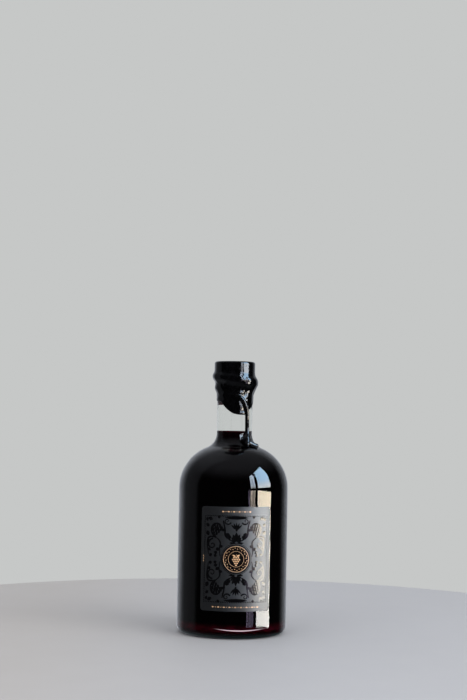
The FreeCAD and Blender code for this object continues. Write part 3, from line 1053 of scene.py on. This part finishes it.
def floor_finish(stage):
    """A painted table top, with a painted colour cast of the lights: warmer at the left, cooler towards the
    window.
    """
    finish = new_finish("table_top")
    warm_light_cast = finish.mix(0.5, stage.floor, (0.5, 0.45, 0.39))
    # Painted colour cast: the warm light's tint on the left fades to the floor colour towards the window.
    side = finish.band(finish.axis("X"), -0.2, 0.05, 0.0, 1.0)
    mottle = finish.band(finish.noise(30.0, 3.0), 0.3, 0.7, 0.0, 0.06)
    tone = finish.mix(mottle, finish.mix(side, warm_light_cast, stage.floor), (0.6, 0.6, 0.6))
    return finish.surface(Base_Color=tone, Roughness=0.6)


def surroundings(stage):
    """A pale wall; for reflections, a room that is dark in front and pale behind, above and at the left."""
    finish = Finish(bpy.data.worlds.new("room"), "OutputWorld", "Generated")
    right, behind, up = [finish.axis(name) for name in "XYZ"]
    back = finish.band(behind, 0.45, 0.9, 0.01, 0.52) * finish.band(up, -0.45, -0.2, 0.1, 1.0)
    left = finish.band(behind, -0.25, -0.03, 0.0, 0.12) * finish.band(right, 0.0, -0.3)
    ceiling = finish.band(up, 0.35, 0.95, 0.0, 0.2)
    below = finish.band(up, -0.35, -0.75, 0.0, 0.1)
    mirrored_room = finish.mix(back + left + ceiling + below, (0.0, 0.0, 0.0), (0.93, 0.98, 1.08))
    kinds = ("Is Glossy Ray", "Is Camera Ray", "Is Transmission Ray")
    glossy, camera, through = [finish.node("LightPath", out=kind) for kind in kinds]
    lit = finish.mix(glossy, (0.74, 0.75, 0.78), mirrored_room)
    seen = camera.math("MAXIMUM", camera, through)
    light = finish.node("Background", None, {"Color": finish.mix(seen, lit, stage.wall)})
    return finish.finish(Surface=light)


# The window's panes: light at two heights, those heights, and how dark a curtain's folds are.
PANES = {
    ("near", "upper"): ((12.0, 12.8, 13.8), (7.4, 11.0, 15.0), 0.3, 0.75, 0.0),
    ("far", "upper"): ((8.0, 8.2, 8.8), (11.0, 13.0, 16.0), 0.3, 0.6, 0.5),
    ("near", "lower"): ((17.0, 16.6, 15.8), (18.2, 15.8, 12.2), -0.22, 0.05, 0.0),
    ("far", "lower"): ((2.0, 1.7, 2.5), (9.8, 8.4, 7.0), -0.2, 0.03, 0.75),
}
# The soft lights: place, width, power and colour, and the place that they face.
LAMPS = {
    "window_light": ((1.45, -1.2, 0.75), 1.6, 30, (1.0, 0.97, 0.93)),
    "fill_light": ((-1.2, -1.6, 1.3), 1.4, 9, (0.95, 0.97, 1.0)),
}
LAMP_TARGET = Vector((0, 0, 0.08))


def pane_finish(name, below, above, low, high, folds):
    """Daylight that changes with height, down to a sill that is lower the farther it is from the bottle."""
    finish = new_finish(name)
    height = finish.axis("Z")
    uncovered = finish.band(finish.axis("Y"), -2.25, -2.05)
    daylight = finish.mix(finish.band(height, low, high) * uncovered, below, above)
    sill = finish.band(height + 0.175 * finish.from_axis(), 0.0, 0.03)
    drape = finish.stretched((0.0, 6.5, 0.5))
    shade = finish.band(finish.noise(1.0, 2.0, place=drape), 0.4, 0.6, 1.0, 1.0 - folds)
    glow = finish.node("Emission", None, {"Color": daylight, "Strength": shade * sill})
    return finish.finish(Surface=glow)


class BOTTLE_OT_stage(bpy.types.Operator):
    """Set the table top, the window, the soft lights, the surroundings and the camera"""
    bl_idname = "bottle.set_stage"
    bl_label = "Stage"

    def execute(self, context):
        scene, stage = context.scene, context.scene.bottle_stage
        bpy.ops.mesh.primitive_circle_add(
            vertices=128, radius=stage.floor_radius, fill_type="NGON", location=(0, 0, -0.2 * MM),
        )
        floor = named("floor")
        settle(floor)
        hide(floor, "glossy")
        coat(floor, floor_finish(stage))

        spans = {
            "near": (-stage.window_near, stage.mullion_half - stage.mullion),
            "far": (-stage.mullion_half - stage.mullion, -stage.window_far),
        }
        levels = {
            "upper": (stage.bar_height + stage.bar_half, stage.window_top),
            "lower": (stage.window_bottom, stage.bar_height - stage.bar_half),
        }
        for (side, level), look in PANES.items():
            (first, last), (low, high) = spans[side], levels[level]
            if (side, level) == ("far", "upper"):
                last += stage.curtain
            middle = (stage.window_distance, (first + last) / 2, (low + high) / 2)
            pane = flat(f"pane_{side}_{level}", middle, (high - low, first - last), (0, -math.pi / 2, 0))
            hide(pane, "camera", "diffuse", "transmission", "shadow")
            coat(pane, pane_finish(pane.name, *look))

        for name, (place, width, power, shade) in LAMPS.items():
            bpy.ops.object.light_add(type="AREA", location=place)
            lamp = named(name)
            lamp.data.size = width
            lamp.data.energy = power
            lamp.data.color = shade
            lamp.rotation_euler = (LAMP_TARGET - Vector(place)).to_track_quat("-Z", "Y").to_euler()
            hide(lamp, "glossy", "transmission")

        bpy.ops.object.camera_add()
        camera = named("camera")
        camera.data.sensor_fit = "VERTICAL"
        camera.data.sensor_height = 36
        camera.data.lens = stage.lens
        pitch = Matrix.Rotation(math.pi / 2 + stage.camera_pitch, 4, "X")
        roll = Matrix.Rotation(stage.camera_roll, 4, "Z")
        camera.matrix_world = Matrix.Translation(stage.camera_place) @ pitch @ roll
        scene.camera = camera
        scene.world = surroundings(stage)
        scene.view_settings.view_transform = "Standard"
        return {"FINISHED"}


# ---------- panel and registration

OPERATORS = (
    BOTTLE_OT_glass, BOTTLE_OT_wine, BOTTLE_OT_stopper, BOTTLE_OT_wax, BOTTLE_OT_label, BOTTLE_OT_print,
    BOTTLE_OT_stage,
)


class BOTTLE_PT_builder(bpy.types.Panel):
    """Buttons and sizes for the bottle"""
    bl_idname = "BOTTLE_PT_builder"
    bl_label = "Wax-sealed bottle"
    bl_space_type = "VIEW_3D"
    bl_region_type = "UI"
    bl_category = "Bottle"

    def draw(self, context):
        for operator in OPERATORS:
            self.layout.operator(operator.bl_idname)
        for name, kind in SETTINGS.items():
            box = self.layout.box()
            for field in kind.__annotations__:
                box.prop(getattr(context.scene, name), field)


CLASSES = (*SETTINGS.values(), *OPERATORS, BOTTLE_PT_builder)


def register():
    for kind in CLASSES:
        bpy.utils.register_class(kind)
    for name, kind in SETTINGS.items():
        setattr(bpy.types.Scene, name, PointerProperty(type=kind))


def unregister():
    for name in SETTINGS:
        delattr(bpy.types.Scene, name)
    for kind in reversed(CLASSES):
        bpy.utils.unregister_class(kind)


def main():
    register()
    bpy.ops.bottle.set_stage()
    bpy.ops.bottle.add_glass()
    bpy.ops.bottle.add_wine()
    bpy.ops.bottle.add_stopper()
    bpy.ops.bottle.add_wax()
    bpy.ops.bottle.add_label()
    bpy.ops.bottle.print_label()


if __name__ == "__main__":
    main()
